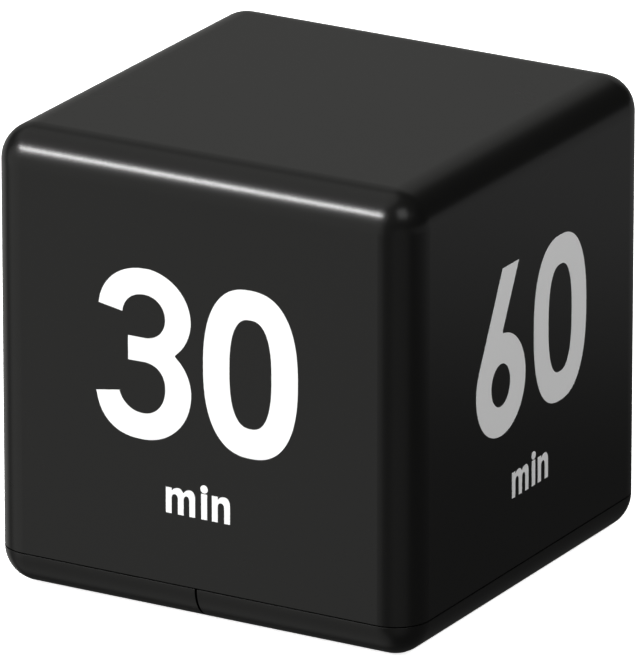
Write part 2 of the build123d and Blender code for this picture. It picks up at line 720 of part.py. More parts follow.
# the buzzer's two wires, up from the disc and the ceramic to the underside of the board
disc_edge = (piezo_d + ceramic_d) / 4
for name, reach, foot_z in (
    ("piezo_wire_disc", disc_edge, gasket_top + piezo_t),
    ("piezo_wire_ceramic", ceramic_d / 4, gasket_top + piezo_t + ceramic_t),
):
    with BuildPart() as lead:
        peg(piezo_x, piezo_y + reach, wire_d, foot_z, board_z)
    save(lead, name)
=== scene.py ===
# %% [markdown]
# # A cube kitchen timer, from its CAD frame to a finished picture
# The timer is a rounded black plastic cube with a number of minutes on each side face. The
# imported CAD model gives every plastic, metal and electric part in its real place, so this
# script adds what CAD leaves plain: the printed figures and marks, the coiled contact springs,
# solder, and the surface of every material. Lengths in the helpers are in millimetres, because
# that is how such a part is drawn, and `MM` turns them into metres at the last step.

import bmesh
import bpy
import numpy as np
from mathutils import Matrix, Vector
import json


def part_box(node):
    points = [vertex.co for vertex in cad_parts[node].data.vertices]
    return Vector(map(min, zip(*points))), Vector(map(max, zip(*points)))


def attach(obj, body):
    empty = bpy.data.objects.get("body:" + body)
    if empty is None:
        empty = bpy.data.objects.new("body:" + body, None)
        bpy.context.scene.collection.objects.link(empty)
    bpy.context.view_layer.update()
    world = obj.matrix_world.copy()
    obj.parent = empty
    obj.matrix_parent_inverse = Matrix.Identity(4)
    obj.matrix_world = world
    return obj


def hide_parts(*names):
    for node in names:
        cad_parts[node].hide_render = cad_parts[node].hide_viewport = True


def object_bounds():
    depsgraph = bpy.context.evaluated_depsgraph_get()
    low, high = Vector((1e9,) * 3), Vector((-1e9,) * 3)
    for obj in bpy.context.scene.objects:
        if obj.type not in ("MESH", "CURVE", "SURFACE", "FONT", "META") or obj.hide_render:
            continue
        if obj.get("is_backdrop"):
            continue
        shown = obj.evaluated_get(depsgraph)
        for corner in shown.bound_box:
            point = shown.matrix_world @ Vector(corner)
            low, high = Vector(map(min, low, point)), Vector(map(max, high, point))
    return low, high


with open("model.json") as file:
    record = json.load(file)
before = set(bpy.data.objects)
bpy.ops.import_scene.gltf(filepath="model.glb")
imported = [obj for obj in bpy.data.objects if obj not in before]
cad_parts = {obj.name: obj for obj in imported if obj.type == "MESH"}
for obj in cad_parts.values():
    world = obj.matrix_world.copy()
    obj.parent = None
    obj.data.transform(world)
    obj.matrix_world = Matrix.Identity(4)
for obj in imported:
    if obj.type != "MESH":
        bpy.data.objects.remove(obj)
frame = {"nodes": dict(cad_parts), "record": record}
cad_low, cad_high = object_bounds()
MM = 0.001
CUBE = (cad_high.z - cad_low.z) / MM
HALF = CUBE / 2

# %% [markdown]
# ## Camera
# A product picture of a small cube is taken from well back with a long lens, so that its
# edges stay nearly parallel. The camera stands a metre and a half away, to the right of the
# 30 minute face and above it, and looks at a point just under the cube's middle.

# %% Camera
VIEW_AZIMUTH, VIEW_ELEVATION = np.radians(30.0), np.radians(19.4)
DISTANCE = 1.536  # metres
SENSOR, LENS = 36.0, 624.5
AIM_DROP = 0.92  # from the cube's middle down to the point the camera looks at
AIM = Vector((0.0, 0.0, (HALF - AIM_DROP) * MM))
back = Vector((
    np.sin(VIEW_AZIMUTH) * np.cos(VIEW_ELEVATION),
    -np.cos(VIEW_AZIMUTH) * np.cos(VIEW_ELEVATION),
    np.sin(VIEW_ELEVATION),
))
camera_data = bpy.data.cameras.new("camera")
camera_data.sensor_width = SENSOR
camera_data.lens = LENS
camera_data.clip_end = 50.0
camera = bpy.data.objects.new("camera", camera_data)
bpy.context.scene.collection.objects.link(camera)
camera.location = AIM + back * DISTANCE
camera.rotation_mode = "QUATERNION"
camera.rotation_quaternion = (-back).to_track_quat("-Z", "Y")
bpy.context.scene.camera = camera
print("camera", [round(value, 3) for value in camera.location], "m, lens", LENS)

# %% [markdown]
# ## Floor, light and surroundings
# Black satin plastic has almost no colour of its own: it shows what it reflects. So the light
# is planned from reflections. One long softbox in front, to the left and a little above draws
# the thin bright line along the rounding between the top and the 30 minute face. A pale glow
# low behind, on the left, is what the top face mirrors, and other glows stand for the rest of
# the room, each for the face or rounding that mirrors it. Behind on the right it stays dark,
# which keeps the rounding over the 60 minute face nearly black. White ink needs plain light
# instead, so fill lights all round and from below light it without being mirrored. The picture
# is shown with the Standard view, so that white stays white.

# %% Stage helpers
bpy.context.scene.view_settings.view_transform = "Standard"


def link(obj):
    """Puts an object into the scene, and gives it back."""
    bpy.context.scene.collection.objects.link(obj)
    return obj


def direction(azimuth, elevation):
    """A unit vector from the cube; azimuth 0 is in front, and grows to the right."""
    a, e = np.radians(azimuth), np.radians(elevation)
    return Vector((np.sin(a) * np.cos(e), -np.cos(a) * np.cos(e), np.sin(e)))


def area_light(name, azimuth, elevation, distance, size, power, mirrored=True):
    """A softbox in one direction from the cube, facing it; mirrored is whether gloss shows it."""
    data = bpy.data.lights.new(name, "AREA")
    data.shape = "RECTANGLE"
    data.size, data.size_y = size
    data.energy = power
    light = link(bpy.data.objects.new(name, data))
    out = direction(azimuth, elevation)
    light.location = Vector((0, 0, HALF * MM)) + out * distance
    light.rotation_mode = "QUATERNION"
    light.rotation_quaternion = out.to_track_quat("Z", "Y")
    light.visible_glossy = mirrored
    return light


def join(tree, source, target):
    """One link between two sockets."""
    tree.links.new(source, target)


def node(tree, kind, *wired, **settings):
    """A shader node, with its settings, and its first inputs wired or given a value."""
    made_node = tree.nodes.new("ShaderNode" + kind)
    for key, value in settings.items():
        setattr(made_node, key, value)
    for socket, value in zip(made_node.inputs, wired):
        if isinstance(value, bpy.types.NodeSocket):
            tree.links.new(value, socket)
        elif value is not None:
            socket.default_value = value
    return made_node


# %% Softboxes and fill lights
# Each has its azimuth, elevation, distance and size in metres, and power in watts.
area_light("key_softbox", -34, 34, 0.9, (0.36, 0.06), 4.6)
area_light("corner_softbox", 54, 47, 1.3, (0.6, 0.6), 1.6)
area_light("front_fill", -25, 30, 1.2, (0.7, 0.5), 13.0, mirrored=False)
area_light("right_fill", 80, 38, 1.2, (0.6, 0.6), 8.5, mirrored=False)
area_light("back_fill", -165, 45, 1.3, (0.7, 0.7), 8.0, mirrored=False)
area_light("under_fill", -135, -72, 1.2, (0.7, 0.7), 13.0, mirrored=False)
print("lights", [light.name for light in bpy.data.lights])

# %% Room
ROOM_DIM = 0.02  # the surroundings as a reflection shows them
world = bpy.data.worlds.new("room")
bpy.context.scene.world = world
world.use_nodes = True
sky = world.node_tree
sky.nodes.clear()
way = node(sky, "TexCoord")


def glow(azimuth, elevation, edge, full, strength):
    """A round glow in the sky, from the cosines of its outer and inner edge; gives its strength."""
    toward = node(
        sky, "VectorMath", way.outputs["Generated"], tuple(direction(azimuth, elevation)),
        operation="DOT_PRODUCT",
    )
    return node(
        sky, "MapRange", toward.outputs["Value"], edge, full, ROOM_DIM, strength,
        interpolation_type="SMOOTHSTEP",
    ).outputs[0]


glows = (
    glow(-150, 20, 0.80, 0.93, 0.23),  # the top face
    glow(-85, 62, 0.80, 0.95, 0.45),  # the upper side of the rounding over the 30 minute face
    glow(-45, 0, 0.77, 0.90, 0.48),  # the 30 minute face, up to its bright line
    glow(-45, -50, 0.80, 0.95, 0.25),  # the rounding under it
    glow(-118, -15, 0.85, 0.97, 0.40),  # the left end of the 30 minute face
    glow(42, -20, 0.85, 0.97, 0.12),  # the upright rounding between the 30 and 60 minute faces
)
brightest = glows[0]
for level in glows[1:]:
    brightest = node(sky, "Math", brightest, level, operation="MAXIMUM").outputs[0]
lit = node(sky, "Background", (1.0, 1.0, 0.97, 1.0), brightest)
seen = node(sky, "Background", (1.0, 1.0, 1.0, 1.0), 1.0)  # plain white to the camera
path = node(sky, "LightPath")
pick = node(sky, "MixShader", path.outputs["Is Camera Ray"], lit.outputs[0], seen.outputs[0])
node(sky, "OutputWorld", pick.outputs[0])
print(len(glows), "glows")

# %% Floor
# The floor lies a hair under the timer, and is clear from below, so that the underside can be seen.
REACH, FLOOR_Z = 6.0, -0.00005  # metres
CORNERS = ((-REACH, -REACH), (REACH, -REACH), (REACH, REACH), (-REACH, REACH))
floor_mesh = bpy.data.meshes.new("floor")
floor_mesh.from_pydata([(x, y, FLOOR_Z) for x, y in CORNERS], [], [(0, 1, 2, 3)])
floor = link(bpy.data.objects.new("floor", floor_mesh))
floor_paint = bpy.data.materials.new("pale_floor")
floor_paint.use_nodes = True
ground = floor_paint.node_tree
ground.nodes.clear()
# to the camera: white paper that is lit from below as well, with a faint shadow left
paper = node(ground, "BsdfDiffuse", (0.9, 0.9, 0.9, 1))
backlight = node(ground, "Emission", (1, 1, 1, 1), 0.80)
white = node(ground, "AddShader", paper.outputs[0], backlight.outputs[0])
# to a reflection: clear, so that the room's glows show through, with a painted glow of the floor that rises
# from a dim level to a full one between two distances behind the timer, on the right; this is painted
# shade, dim near the timer where its shade falls on the floor
PAINTED_SHADE_START, PAINTED_SHADE_STOP = 0.06, 0.20  # metres
PAINTED_SHADE_LEVEL, FLOOR_GLOW_LEVEL = 0.03, 0.18
spot = node(ground, "TexCoord").outputs["Object"]
behind = node(ground, "VectorMath", spot, tuple(direction(150, 0)), operation="DOT_PRODUCT")
painted_shade_fade = node(
    ground, "MapRange", behind.outputs["Value"], PAINTED_SHADE_START, PAINTED_SHADE_STOP, PAINTED_SHADE_LEVEL, FLOOR_GLOW_LEVEL,
    interpolation_type="SMOOTHSTEP",
)
# painted shade: emission standing for the lit floor, darker close to the timer
floor_glow_with_painted_shade = node(ground, "Emission", (1, 1, 1, 1), painted_shade_fade.outputs[0])
clear = node(ground, "BsdfTransparent").outputs[0]
mirrored = node(ground, "AddShader", clear, floor_glow_with_painted_shade.outputs[0])
to_camera = node(ground, "LightPath").outputs["Is Camera Ray"]
above = node(ground, "MixShader", to_camera, mirrored.outputs[0], white.outputs[0])
from_below = node(ground, "NewGeometry").outputs["Backfacing"]
shown = node(ground, "MixShader", from_below, above.outputs[0], clear)
node(ground, "OutputMaterial", shown.outputs[0])
floor_mesh.materials.append(floor_paint)
floor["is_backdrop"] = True
print("floor", 2 * REACH, "m across")

# %% [markdown]
# ## Surface patterns, shared between materials
# No real surface is quite even: moulded plastic has a fine grain, drawn and rolled metal has
# lines along the way it was drawn, and foam and laminate are speckled. Each pattern is a shader
# node group, built once. It puts out Height for a bump, Tone and Rough as factors near 1, and
# Mask where a second colour shows. A material then only sets the group's values.

# %% Group helpers
def new_group(name, inputs, outputs=("Height", "Tone", "Rough", "Mask")):
    """An empty group with named sockets; inputs gives each input its default."""
    tree = bpy.data.node_groups.new(name, "ShaderNodeTree")
    for socket, default in inputs.items():
        kind = "NodeSocketVector" if isinstance(default, tuple) else "NodeSocketFloat"
        tree.interface.new_socket(socket, in_out="INPUT", socket_type=kind).default_value = default
    for socket in outputs:
        tree.interface.new_socket(socket, in_out="OUTPUT", socket_type="NodeSocketFloat")
    return tree, tree.nodes.new("NodeGroupInput").outputs, tree.nodes.new("NodeGroupOutput").inputs


def near_one(tree, value, spread):
    """(value - 0.5) * spread + 1, so that a noise of 0 to 1 becomes a factor near 1."""
    centred = node(tree, "Math", value, 0.5, operation="SUBTRACT")
    return node(tree, "Math", centred.outputs[0], spread, 1.0, operation="MULTIPLY_ADD").outputs[0]


def object_place(tree):
    """The place on the object, in metres."""
    return node(tree, "TexCoord").outputs["Object"]


def noise(tree, place, scale, detail):
    """The value of a noise texture."""
    texture = node(tree, "TexNoise")
    join(tree, place, texture.inputs["Vector"])
    if isinstance(scale, bpy.types.NodeSocket):
        join(tree, scale, texture.inputs["Scale"])
    else:
        texture.inputs["Scale"].default_value = scale
    texture.inputs["Detail"].default_value = detail
    return texture.outputs["Fac"]


# %% Moulded grain
def moulded_grain():
    """Height is a fine noise. Tone and Rough follow a broad one, some centimetres across."""
    tree, given, out = new_group(
        "moulded_grain", {"Scale": 4000.0, "Spread": 0.1}, ("Height", "Tone", "Rough"),
    )
    place = object_place(tree)
    broad = noise(tree, place, 45.0, 2.0)
    join(tree, noise(tree, place, given["Scale"], 3.0), out["Height"])
    join(tree, near_one(tree, broad, given["Spread"]), out["Tone"])
    join(tree, near_one(tree, broad, given["Spread"]), out["Rough"])
    return tree


# %% Drawn lines
def drawn_lines():
    """Noise squeezed by Stretch, in cycles per metre along each axis: low along the lines."""
    tree, given, out = new_group(
        "drawn_lines", {"Stretch": (8000.0, 200.0, 8000.0), "Spread": 0.3}, ("Height", "Tone", "Rough"),
    )
    place = object_place(tree)
    squeezed = node(tree, "VectorMath", place, given["Stretch"], operation="MULTIPLY").outputs[0]
    lines = noise(tree, squeezed, 1.0, 3.0)
    join(tree, lines, out["Height"])
    join(tree, near_one(tree, lines, given["Spread"]), out["Tone"])
    join(tree, near_one(tree, noise(tree, squeezed, 0.3, 2.0), given["Spread"]), out["Rough"])
    return tree


# %% Speckle
def speckle():
    """Cells of a Voronoi texture: Height is the distance to a cell's point, Mask marks a share of cells."""
    tree, given, out = new_group("speckle", {"Scale": 3000.0, "Spread": 0.3, "Share": 0.3})
    cells = node(tree, "TexVoronoi")
    join(tree, object_place(tree), cells.inputs["Vector"])
    join(tree, given["Scale"], cells.inputs["Scale"])
    chance = node(tree, "SeparateColor", cells.outputs["Color"]).outputs[0]
    join(tree, cells.outputs["Distance"], out["Height"])
    join(tree, near_one(tree, chance, given["Spread"]), out["Tone"])
    join(tree, near_one(tree, chance, given["Spread"]), out["Rough"])
    join(tree, node(tree, "Math", chance, given["Share"], operation="LESS_THAN").outputs[0], out["Mask"])
    return tree


# %% Board tracks
ZIG_SPAN = 0.007  # half the length in which a track steps sideways and back, metres
ZIG_LOW, ZIG_HIGH = 0.0025, 0.0050  # where its steps are cut flat


def board_tracks():
    """Copper tracks under the green mask: lines along X that step sideways at 45 degrees.

    The lines are where y + zig(x) falls in the first part of each Pitch; zig is a triangle wave
    cut flat above and below. Patches of a coarse Voronoi texture have no tracks.
    """
    tree, given, out = new_group("board_tracks", {"Pitch": 0.0011, "Width": 0.42})
    place = object_place(tree)
    at = node(tree, "SeparateXYZ", place)
    wave = node(tree, "Math", at.outputs["X"], ZIG_SPAN, operation="PINGPONG").outputs[0]
    zig = node(tree, "Math", wave, ZIG_LOW, operation="MAXIMUM").outputs[0]
    zig = node(tree, "Math", zig, ZIG_HIGH, operation="MINIMUM").outputs[0]
    along = node(tree, "Math", at.outputs["Y"], zig, operation="ADD").outputs[0]
    turns = node(tree, "Math", along, given["Pitch"], operation="DIVIDE").outputs[0]
    part = node(tree, "Math", turns, operation="FRACT").outputs[0]
    line = node(tree, "Math", part, given["Width"], operation="LESS_THAN").outputs[0]
    patches = node(tree, "TexVoronoi")
    join(tree, place, patches.inputs["Vector"])
    patches.inputs["Scale"].default_value = 130.0
    chance = node(tree, "SeparateColor", patches.outputs["Color"]).outputs[0]
    live = node(tree, "Math", chance, 0.4, operation="GREATER_THAN").outputs[0]
    track = node(tree, "Math", line, live, operation="MULTIPLY").outputs[0]
    weave = noise(tree, place, 2500.0, 2.0)
    join(tree, track, out["Mask"])
    join(tree, track, out["Height"])
    join(tree, near_one(tree, weave, 0.25), out["Tone"])
    join(tree, near_one(tree, weave, 0.2), out["Rough"])
    return tree


# %% Bands across a long part
def bands():
    """Mask is 1 past a Limit along a Way, and again on a thin ring just before it."""
    tree, given, out = new_group("bands", {"Way": (0.0, 1.0, 0.0), "Limit": 0.01, "Ring": 0.0008})
    place = object_place(tree)
    way = node(tree, "VectorMath", place, given["Way"], operation="DOT_PRODUCT").outputs["Value"]
    past = node(tree, "Math", way, given["Limit"], operation="GREATER_THAN").outputs[0]
    ahead = node(tree, "Math", given["Limit"], way, operation="SUBTRACT").outputs[0]
    start = node(tree, "Math", ahead, given["Ring"], operation="GREATER_THAN").outputs[0]
    twice = node(tree, "Math", given["Ring"], 2.0, operation="MULTIPLY").outputs[0]
    stop = node(tree, "Math", ahead, twice, operation="LESS_THAN").outputs[0]
    ring = node(tree, "Math", start, stop, operation="MULTIPLY").outputs[0]
    grain = noise(tree, place, 900.0, 3.0)
    join(tree, node(tree, "Math", past, ring, operation="MAXIMUM").outputs[0], out["Mask"])
    join(tree, grain, out["Height"])
    join(tree, near_one(tree, grain, 0.12), out["Tone"])
    join(tree, near_one(tree, grain, 0.25), out["Rough"])
    return tree


GRAIN = moulded_grain()
DRAWN = drawn_lines()
SPECKLE = speckle()
TRACKS = board_tracks()
BANDS = bands()
print("patterns", [group.name for group in (GRAIN, DRAWN, SPECKLE, TRACKS, BANDS)])

# %% [markdown]
# ## One function for every finish
# A finish is one Principled shader: its colour, or two colours mixed by the pattern's Mask, its
# roughness times the pattern's Rough, and a bump from the pattern's Height, with the depth of
# the relief in metres. What is the same all over is set on the shader's own sockets.

# %% Finish function
def finish(
    name, colour, roughness, pattern=GRAIN, values=None, second=None, bump=0.1, depth=0.00001, **sockets
):
    """A material from a colour, a roughness and a pattern; second is the colour where Mask is 1."""
    material = bpy.data.materials.new(name)
    material.use_nodes = True
    tree = material.node_tree
    shader = tree.nodes["Principled BSDF"]
    for socket, value in sockets.items():
        shader.inputs[socket.replace("_", " ")].default_value = value
    texture = tree.nodes.new("ShaderNodeGroup")
    texture.node_tree = pattern
    for socket, value in (values or {}).items():
        texture.inputs[socket].default_value = value
    tone = node(tree, "VectorMath", operation="SCALE")
    tone.inputs[0].default_value = colour
    if second:
        mixed = node(tree, "Mix", data_type="VECTOR")
        join(tree, texture.outputs["Mask"], mixed.inputs["Factor"])
        mixed.inputs[4].default_value = colour  # a Mix node's vector A, then B
        mixed.inputs[5].default_value = second
        join(tree, mixed.outputs[1], tone.inputs[0])
    join(tree, texture.outputs["Tone"], tone.inputs["Scale"])
    join(tree, tone.outputs[0], shader.inputs["Base Color"])
    rough = node(tree, "Math", texture.outputs["Rough"], roughness, operation="MULTIPLY")
    join(tree, rough.outputs[0], shader.inputs["Roughness"])
    relief = node(tree, "Bump")
    relief.inputs["Strength"].default_value = bump
    relief.inputs["Distance"].default_value = depth
    join(tree, texture.outputs["Height"], relief.inputs["Height"])
    join(tree, relief.outputs[0], shader.inputs["Normal"])
    return material


# %% Plastics, resins and wire insulation
BLACK = (0.0045, 0.0045, 0.0043)
FINISHES = {
    "case_plastic": dict(colour=BLACK, roughness=0.27),
    "cover_plastic": dict(colour=BLACK, roughness=0.28),
    "door_plastic": dict(colour=BLACK, roughness=0.28),
    "knob_plastic": dict(
        colour=(0.010, 0.010, 0.010), roughness=0.38, values={"Scale": 6000.0, "Spread": 0.2},
    ),
    "lever_nylon": dict(
        colour=(0.62, 0.60, 0.54), roughness=0.5, values={"Scale": 3000.0, "Spread": 0.2},
    ),
    "tilt_plastic": dict(colour=(0.012, 0.030, 0.090), roughness=0.45),
    "transistor_epoxy": dict(
        colour=(0.014, 0.014, 0.015), roughness=0.55, values={"Scale": 9000.0, "Spread": 0.3}, bump=0.4,
    ),
    "epoxy_black": dict(
        colour=(0.008, 0.008, 0.009), roughness=0.22, values={"Scale": 500.0, "Spread": 0.3},
        bump=0.3, depth=0.00005,
    ),
    "wire_red": dict(
        colour=(0.40, 0.010, 0.008), roughness=0.4, values={"Scale": 2500.0, "Spread": 0.2},
    ),
    "wire_black": dict(
        colour=(0.008, 0.008, 0.009), roughness=0.4, values={"Scale": 2500.0, "Spread": 0.2},
    ),
    "led_resin": dict(
        colour=(0.50, 0.020, 0.015), roughness=0.18, Transmission_Weight=0.35, Coat_Weight=0.3,
    ),
}

# %% Metals
ALONG_X = (200.0, 9000.0, 9000.0)
ALONG_Y = (9000.0, 200.0, 9000.0)


def metal(colour, roughness, stretch, spread=0.35, bump=0.25, depth=0.000004):
    """The settings of a drawn, rolled or turned metal."""
    return dict(
        colour=colour, roughness=roughness, pattern=DRAWN, values={"Stretch": stretch, "Spread": spread},
        bump=bump, depth=depth, Metallic=1.0,
    )


FINISHES.update({
    "screw_steel": metal((0.50, 0.51, 0.53), 0.30, (6000.0, 6000.0, 9000.0)),
    "crystal_steel": metal((0.62, 0.62, 0.61), 0.22, ALONG_Y),
    "capacitor_aluminium": metal((0.74, 0.75, 0.77), 0.35, ALONG_X),
    "switch_steel": metal((0.60, 0.60, 0.58), 0.30, ALONG_Y),
    "pin_tin": metal((0.70, 0.69, 0.66), 0.36, (3000.0, 3000.0, 3000.0), 0.5),
    "piezo_brass": metal((0.76, 0.55, 0.26), 0.30, ALONG_X),
    "tilt_brass": metal((0.80, 0.62, 0.32), 0.24, (9000.0, 9000.0, 9000.0), 0.2),
    "ball_steel": metal((0.64, 0.64, 0.65), 0.12, (3000.0, 3000.0, 3000.0), 0.2, 0.1),
    "cell_steel": metal((0.66, 0.66, 0.64), 0.26, (6000.0, 6000.0, 6000.0)),
    "contact_nickel": metal((0.70, 0.68, 0.62), 0.26, ALONG_X),
    "spring_nickel": metal((0.68, 0.67, 0.63), 0.20, (4000.0, 4000.0, 4000.0)),
})

# %% Board, foam, ceramics and printed sleeves
STRIPE_SHARE = 0.08  # of the sleeve's width, for the stripe that marks the minus side
sleeve_low, sleeve_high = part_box("capacitor_sleeve")
stripe = sleeve_low[0] + STRIPE_SHARE * (sleeve_high[0] - sleeve_low[0])
FINISHES.update({
    "board_laminate": dict(
        colour=(0.006, 0.060, 0.022), second=(0.016, 0.135, 0.050), roughness=0.32, pattern=TRACKS,
        bump=0.5, depth=0.00003, Coat_Weight=0.4,
    ),
    "switch_laminate": dict(
        colour=(0.30, 0.15, 0.05), second=(0.20, 0.09, 0.03), roughness=0.6, pattern=SPECKLE,
        values={"Scale": 4000.0, "Share": 0.3},
    ),
    "gasket_foam": dict(
        colour=(0.030, 0.030, 0.032), second=(0.010, 0.010, 0.010), roughness=0.9, pattern=SPECKLE,
        values={"Scale": 3500.0, "Share": 0.35}, bump=0.8, depth=0.0001,
    ),
    "piezo_ceramic": dict(
        colour=(0.74, 0.73, 0.68), second=(0.62, 0.61, 0.57), roughness=0.42, pattern=SPECKLE,
        values={"Scale": 2500.0, "Spread": 0.1, "Share": 0.15},
    ),
    "resistor_ceramic": dict(
        colour=(0.020, 0.020, 0.024), second=(0.030, 0.030, 0.034), roughness=0.4, pattern=SPECKLE,
        values={"Scale": 9000.0, "Share": 0.4},
    ),
    "sleeve_vinyl": dict(
        colour=(0.012, 0.016, 0.050), second=(0.55, 0.57, 0.60), roughness=0.3, pattern=BANDS,
        values={"Way": (-1.0, 0.0, 0.0), "Limit": -stripe, "Ring": 0.0}, Coat_Weight=0.3,
    ),
})

# %% Cell jackets
# The coloured end of the jacket is the plus end, and the two cells lie opposite ways.
COPPER, GRAPHITE = (0.60, 0.27, 0.09), (0.014, 0.014, 0.016)
BAND_EDGE, BAND_RING = 0.0085, 0.0008  # metres


def jacket(name, way):
    """A cell's printed sleeve, with its coloured third towards the plus end."""
    return finish(
        name, GRAPHITE, 0.3, BANDS, {"Way": (0.0, way, 0.0), "Limit": BAND_EDGE, "Ring": BAND_RING},
        second=COPPER, bump=0.15, depth=0.00002, Metallic=0.35, Coat_Weight=0.6, Coat_Roughness=0.1,
    )


# %% Give every CAD part its finish
slot_of = {part["node"]: part["material_slot"] for part in frame["record"]["subparts"]}
made = {slot: finish(slot, **values) for slot, values in FINISHES.items()}
own_finish = {"cell_1_jacket": jacket("jacket_1", -1.0), "cell_2_jacket": jacket("jacket_2", 1.0)}
for name, obj in frame["nodes"].items():
    for place in obj.material_slots:
        place.material = own_finish[name] if name in own_finish else made[slot_of[name]]
print(len(made) + len(own_finish), "finishes on", len(frame["nodes"]), "parts")

# %% [markdown]
# ## Printed figures
# The figures are pad-printed: a film of ink some hundredths of a millimetre thick. Each
# outline is drawn as a draughtsman would, from straight runs and stretches of superellipse,
# and Blender's flat curve fills it and gives it the thickness of the ink.

# %% Outline helpers
def curve(centre, radii, start, stop, power=2.0, count=24):
    """Points on |x/a|^p + |y/b|^p = 1 about a centre, from one angle to another in degrees."""
    t = np.radians(np.linspace(start, stop, count))
    c, s = np.cos(t), np.sin(t)
    x = centre[0] + radii[0] * np.sign(c) * np.abs(c) ** (2 / power)
    y = centre[1] + radii[1] * np.sign(s) * np.abs(s) ** (2 / power)
    return np.column_stack([x, y])


def joined(*parts):
    """One outline from points and stretches of points, in order."""
    return np.vstack([np.atleast_2d(np.asarray(part, float)) for part in parts])


# %% Digits, in millimetres about their own middle
DIGIT_TOP, DIGIT_FOOT = 11.55, -11.62  # of the digits with straight ends


def zero():
    """Two superellipses."""
    outer = curve((0, 0), (7.15, 11.62), 0, 360, 2.44, 97)[:-1]
    inner = curve((0, 0), (3.18, 7.53), 360, 0, 2.54, 97)[:-1]
    return [outer, inner]


def three():
    """An upper and a lower bowl; the outer edge goes clockwise, and the inner edge comes back."""
    up, low = (0.13, 5.5), (-0.3, -4.45)
    hollow_up, hollow_low = (0.05, 5.25), (-0.19, -4.45)
    return [joined(
        curve(up, (7.0, 6.37), 175, 90, 2.06),
        curve(up, (7.0, 6.42), 90, -47.5, 2.0, 36)[1:],
        (4.70, 0.54),
        curve(low, (7.47, 6.6), 47, 0, 2.0, 18),
        curve(low, (7.47, 7.4), 0, -90, 2.05)[1:],
        curve(low, (7.05, 7.4), 270, 193, 2.4)[1:],
        (-7.3, -6.17),
        (-3.62, -5.55),
        curve(hollow_low, (3.73, 3.77), 197, 270, 2.1),
        curve(hollow_low, (3.43, 3.77), 270, 360, 2.05)[1:],
        curve(hollow_low, (3.43, 3.4), 0, 90, 2.3)[1:],
        (-2.4, -1.09),
        (-2.4, 2.28),
        curve(hollow_up, (3.2, 2.97), -90, 0, 2.1),
        curve(hollow_up, (3.2, 3.04), 0, 90, 2.1)[1:],
        curve(hollow_up, (3.3, 3.04), 90, 176, 2.05)[1:],
    )]


def six():
    """A round bowl with a straight stroke, whose left edge runs from its top to touch the bowl."""
    middle, bowl = (0, -4.55), (6.62, 7.08)
    left, right = 0.35, 4.70
    u, v = left / bowl[0], (DIGIT_TOP - middle[1]) / bowl[1]
    touch = np.degrees(np.arctan2(v, u) + np.arccos(1 / np.hypot(u, v)))
    outer = joined(
        (left, DIGIT_TOP),
        curve(middle, bowl, touch, 360, 2.04, 60),
        curve(middle, bowl, 0, 86, 2.0, 24)[1:],
        (0.42, 2.9),
        (right, DIGIT_TOP),
    )
    return [outer, curve((-0.03, middle[1]), (2.55, 2.97), 360, 0, 2.0, 49)[:-1]]


def five():
    """A flag and a stem, and a bowl whose inner edge comes back to the stem."""
    bowl = (-0.1, -4.05)
    return [joined(
        (-5.3, DIGIT_TOP), (5.75, DIGIT_TOP), (5.75, 7.85), (-1.85, 7.85), (-2.1, 3.05),
        curve(bowl, (7.25, 7.62), 97, 0, 2.0, 30),
        curve(bowl, (7.25, 7.6), 0, -90, 2.05)[1:],
        curve(bowl, (6.95, 7.6), 270, 196, 2.4)[1:],
        curve(bowl, (3.55, 3.95), 197, 270, 2.1),
        curve(bowl, (3.3, 3.95), 270, 360, 2.05)[1:],
        curve(bowl, (3.3, 3.95), 0, 90, 2.05)[1:],
        curve(bowl, (3.1, 3.95), 90, 146, 2.0, 14)[1:],
        (-6.0, -1.75),
    )]


def one():
    """A stem with a flag to its left."""
    stem = 2.02
    return [joined(
        (stem, DIGIT_FOOT), (stem, DIGIT_TOP), (-1.15, DIGIT_TOP),
        (-6.6, 7.75), (-6.6, 3.45), (-stem, 6.75), (-stem, DIGIT_FOOT),
    )]


# %% Letters, in millimetres from their own foot and left edge
X_HEIGHT, STROKE = 3.68, 0.88
STEM_TOP = X_HEIGHT - 0.1


def arch(x0, x1):
    """The outer curve of one arch, from its left shoulder over to the foot of its right leg."""
    middle = (x0 + x1) / 2 + 0.1
    return joined(
        curve((middle, X_HEIGHT - 0.75), (middle - x0, 0.75), 165, 90, 2.0, 8),
        curve((middle, X_HEIGHT - 1.15), (x1 - middle, 1.15), 90, 0, 2.2, 12)[1:],
        (x1, 0),
    )


def hollow(x0, x1):
    """The inner curve under an arch, from its right foot up and over to its left foot."""
    top = X_HEIGHT - 1.54
    round_end = curve(((x0 + x1) / 2, top), ((x1 - x0) / 2, 0.62), 0, 180, 2.1, 15)
    return joined((x1, 0), round_end, (x0, 0))


def stem():
    """The left edge and the top of a letter's first leg."""
    return joined((0, 0), (0, STEM_TOP), (STROKE, STEM_TOP))


def letter_n():
    """A stem and one arch."""
    width = 2.75
    return [joined(stem(), arch(STROKE, width), hollow(STROKE, width - STROKE))]


def letter_m():
    """A stem and two arches; the first arch ends where the second one leaves it."""
    second, third = 1.83, 3.58
    first_arch = arch(STROKE, second + STROKE)[:-5]
    return [joined(
        stem(), first_arch, arch(second + STROKE, third + STROKE),
        hollow(second + STROKE, third), hollow(STROKE, second),
    )]


def letter_i():
    """A leg and a dot."""
    width, top = 0.9, X_HEIGHT - 0.12
    dot_y, dot_r = 4.24, 0.57
    dot = curve((width / 2, dot_y), (dot_r, dot_r), 0, 360, 2.0, 25)[:-1]
    return [joined((0, 0), (0, top), (width, top), (width, 0)), dot]


# %% Printing on a face
INK = 0.03  # thickness of the ink
SUNK = 0.01  # how far its back lies in the plastic


